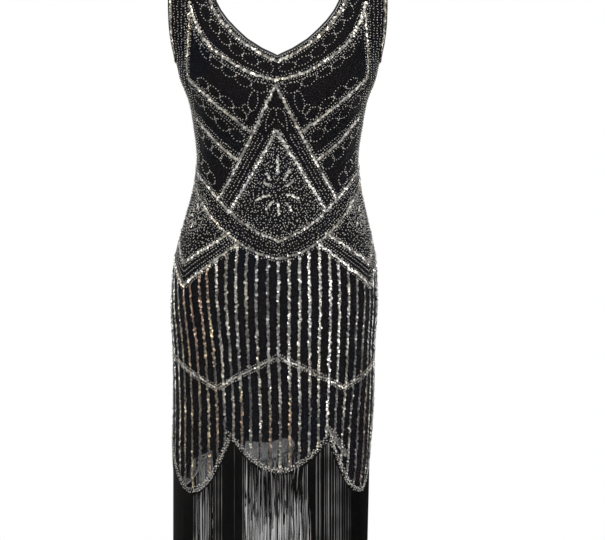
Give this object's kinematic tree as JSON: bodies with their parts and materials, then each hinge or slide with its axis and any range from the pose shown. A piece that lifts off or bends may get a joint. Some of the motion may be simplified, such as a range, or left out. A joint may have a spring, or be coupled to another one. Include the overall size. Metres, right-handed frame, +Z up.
{
  "type": "flapper dress",
  "caption": "Sleeveless V-neck dress, worn shape with no wearer, with beaded bands, a sequin-striped skirt and fringe hanging from a scalloped hem.",
  "frame": {"origin": "midway between the two shoulder seams, level with their inner ends, where the wearer's shoulders carry the dress", "axes": "+Z up, the front faces -Y, +X to the wearer's left"},
  "size_m": [0.3532, 0.2543, 1.1057],
  "materials": {
    "shell_cloth": "fine black mesh cloth, sheer where it has no lining behind it",
    "lining_cloth": "smooth black lining with a slight sheen",
    "binding": "black satin edge binding",
    "beading": "bright metallised sequins and small glossy beads, silver to champagne",
    "fringe": "black twisted rayon fringe, slightly glossy"
  },
  "bodies": {
    "root": {"shell_front": "shell_cloth", "shell_back": "shell_cloth", "lining_front": "lining_cloth", "lining_back": "lining_cloth", "neck_binding": "binding", "armhole_binding_left": "binding", "armhole_binding_right": "binding", "hem_beading_front": "beading", "hem_beading_back": "beading", "fringe_front": "fringe", "fringe_back": "fringe"}
  },
  "joints": []
}
